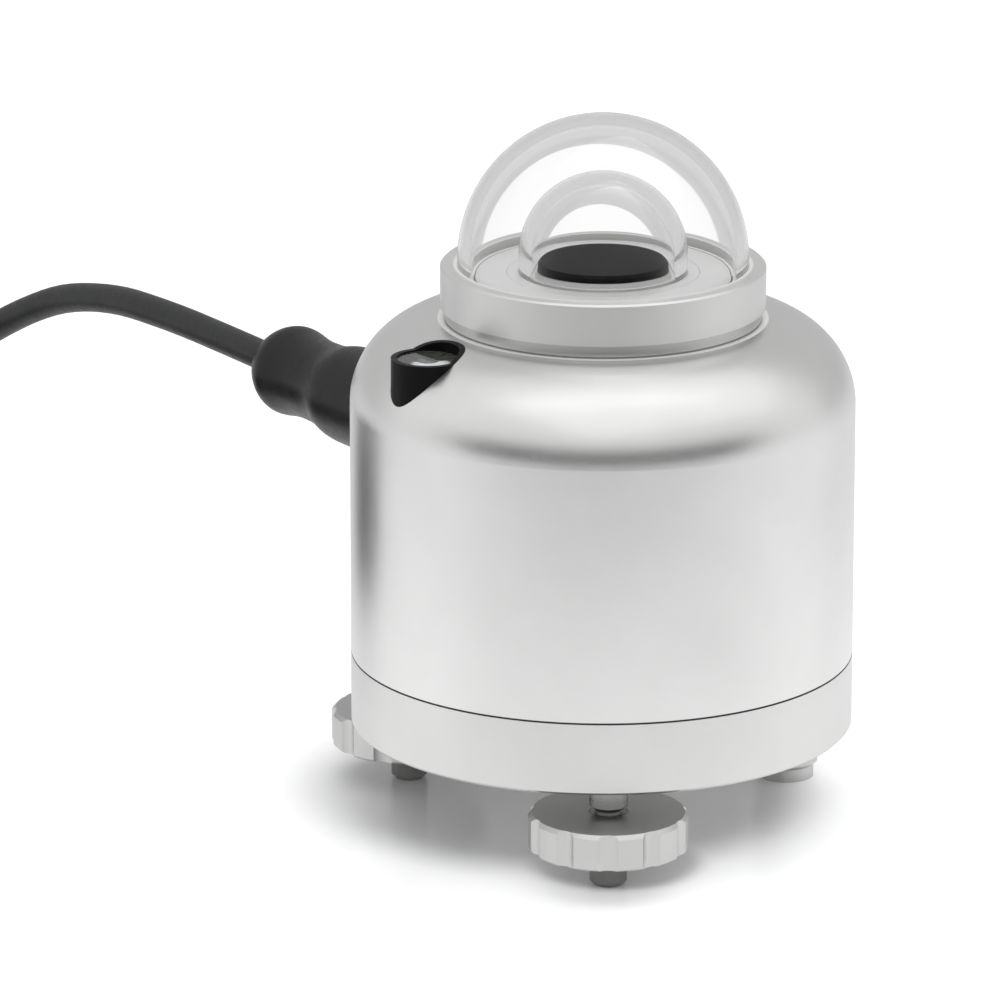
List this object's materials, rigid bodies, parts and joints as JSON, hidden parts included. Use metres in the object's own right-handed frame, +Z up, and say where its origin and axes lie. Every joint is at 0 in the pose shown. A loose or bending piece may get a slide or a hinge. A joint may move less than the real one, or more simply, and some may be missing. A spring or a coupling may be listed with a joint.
{
  "type": "pyranometer",
  "caption": "Double-domed solar radiation sensor on a round ventilated body with levelling feet, a bubble level, a round cable plug and a coiled signal cable.",
  "frame": {"origin": "centre of the base plate's underside, at the mouth of the central threaded hole", "axes": "+Z up along the body's axis, -Y towards the front levelling foot, +X to the right as seen from the front foot"},
  "size_m": [0.23, 0.2119, 0.1117],
  "materials": {
    "dome_glass": "clear polished",
    "anodised": "fine satin anodised",
    "bond": "matt",
    "heater": "film",
    "black_coat": "matt black absorber",
    "seal_rubber": "matt",
    "steel": "bright",
    "black_plastic": "matt",
    "fluid": "clear",
    "glide": "matt",
    "board": "solder resist",
    "brass": "bright",
    "ribbon": "satin",
    "bracket_metal": "plain",
    "pack_fabric": "woven",
    "nickel": "nickel plated",
    "boot_plastic": "satin",
    "cable_jacket": "satin",
    "wires": "satin"
  },
  "bodies": {
    "housing": {"outer_dome": "dome_glass", "inner_dome": "dome_glass", "collar_ring": "anodised", "outer_dome_bond": "bond", "inner_dome_bond": "bond", "top_plate": "anodised", "dome_heater": "heater", "sensor_housing": "anodised", "sensor_disc": "black_coat", "thermopile": "black_coat", "collar_seal": "seal_rubber", "collar_screws": "steel", "body_shell": "anodised", "base_plate": "anodised", "base_seal": "seal_rubber", "base_screws": "steel", "level_cup": "black_plastic", "level_window": "dome_glass", "level_fluid": "fluid", "fixed_foot": "anodised", "main_board": "board", "board_parts": "black_plastic", "board_standoffs": "brass", "board_screws": "steel", "sensor_board": "board", "sensor_ribbon": "ribbon", "socket_ribbon": "ribbon", "fan_bracket": "bracket_metal", "bracket_screws": "steel", "fan_frame": "black_plastic", "fan_screws": "steel", "desiccant_pack": "pack_fabric", "socket_shell": "nickel", "socket_insert": "black_plastic", "socket_pins": "brass", "socket_nut": "nickel", "socket_seal": "seal_rubber"},
    "front_tip": {"front_foot_tip": "glide"},
    "front_screw": {"front_foot_screw": "steel", "front_foot_knob": "anodised"},
    "left_tip": {"left_foot_tip": "glide"},
    "left_screw": {"left_foot_screw": "steel", "left_foot_knob": "anodised"},
    "rotor": {"fan_rotor": "black_plastic"},
    "plug": {"plug_insert": "black_plastic", "plug_boot": "boot_plastic", "cable": "cable_jacket", "cable_coil": "cable_jacket", "coil_ties": "boot_plastic", "cable_end_sleeve": "seal_rubber", "cable_end_wires": "wires"},
    "coupling": {"coupling_nut": "nickel"}
  },
  "joints": [
    {"name": "front_foot_lift", "type": "slide", "parent": "housing", "child": "front_tip", "axis": [0, 0, -1], "range_m": [-0.0035, 0.003]},
    {"name": "front_foot_turn", "type": "hinge", "parent": "front_tip", "child": "front_screw", "pos_m": [0, -0.0345, -0.0067], "axis": [0, 0, -1], "range_deg": [-1260, 1080]},
    {"name": "left_foot_lift", "type": "slide", "parent": "housing", "child": "left_tip", "axis": [0, 0, -1], "range_m": [-0.0035, 0.003]},
    {"name": "left_foot_turn", "type": "hinge", "parent": "left_tip", "child": "left_screw", "pos_m": [-0.02988, 0.01725, -0.0067], "axis": [0, 0, -1], "range_deg": [-1260, 1080]},
    {"name": "fan_spin", "type": "hinge", "parent": "housing", "child": "rotor", "pos_m": [0, 0, 0.042], "axis": [0, 0, 1], "continuous": true},
    {"name": "plug_pull", "type": "slide", "parent": "housing", "child": "plug", "axis": [-0.5446, 0.8387, 0], "range_m": [0, 0.0086]},
    {"name": "coupling_nut_turn", "type": "hinge", "parent": "plug", "child": "coupling", "pos_m": [-0.02584, 0.03979, 0.0357], "axis": [-0.5446, 0.8387, 0], "range_deg": [0, 3096]}
  ],
  "couplings": [
    {"joint": "front_foot_lift", "follows": "front_foot_turn", "m_per_rad": 0.00015915},
    {"joint": "left_foot_lift", "follows": "left_foot_turn", "m_per_rad": 0.00015915},
    {"joint": "coupling_nut_turn", "follows": "plug_pull", "rad_per_m": 6283.2}
  ]
}
